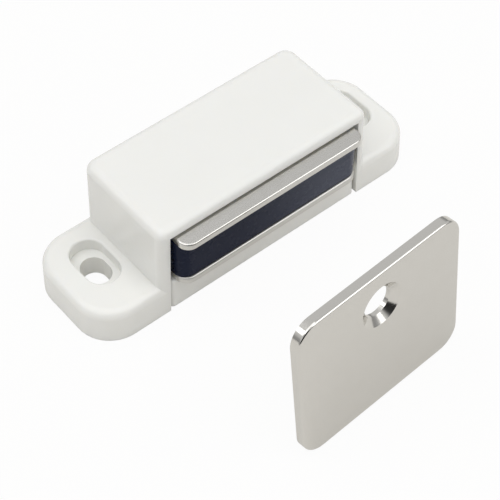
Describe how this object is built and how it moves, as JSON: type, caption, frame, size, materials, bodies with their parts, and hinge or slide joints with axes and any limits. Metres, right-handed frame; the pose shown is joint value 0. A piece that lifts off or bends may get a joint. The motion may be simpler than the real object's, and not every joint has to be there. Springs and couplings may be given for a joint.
{
  "type": "magnetic catch",
  "caption": "Low plastic cabinet catch with screw ears and a magnet between two steel pole plates, with its flat steel strike plate set in front.",
  "frame": {"origin": "on the mounting surface under the housing, midway along it, in line with the two screw slots", "axes": "+X along the housing from the left ear to the right ear as seen from the door, -Y out of the front that the door closes on, +Z away from the mounting surface"},
  "size_m": [0.058, 0.0478, 0.0243],
  "materials": {
    "white_plastic": "moulded white plastic with a soft sheen",
    "plated_steel": "nickel plated, satin",
    "ferrite": "dense blue-black ferrite, ground and glossy",
    "plated_strike": "nickel plated, satin"
  },
  "bodies": {
    "base": {"housing": "white_plastic", "strike_plate": "plated_strike"},
    "pack": {"upper_pole_plate": "plated_steel", "magnet": "ferrite", "lower_pole_plate": "plated_steel"}
  },
  "joints": [
    {"name": "pack_float", "type": "slide", "parent": "base", "child": "pack", "axis": [0, -1, 0], "range_m": [-0.0005, 0.0005]}
  ]
}
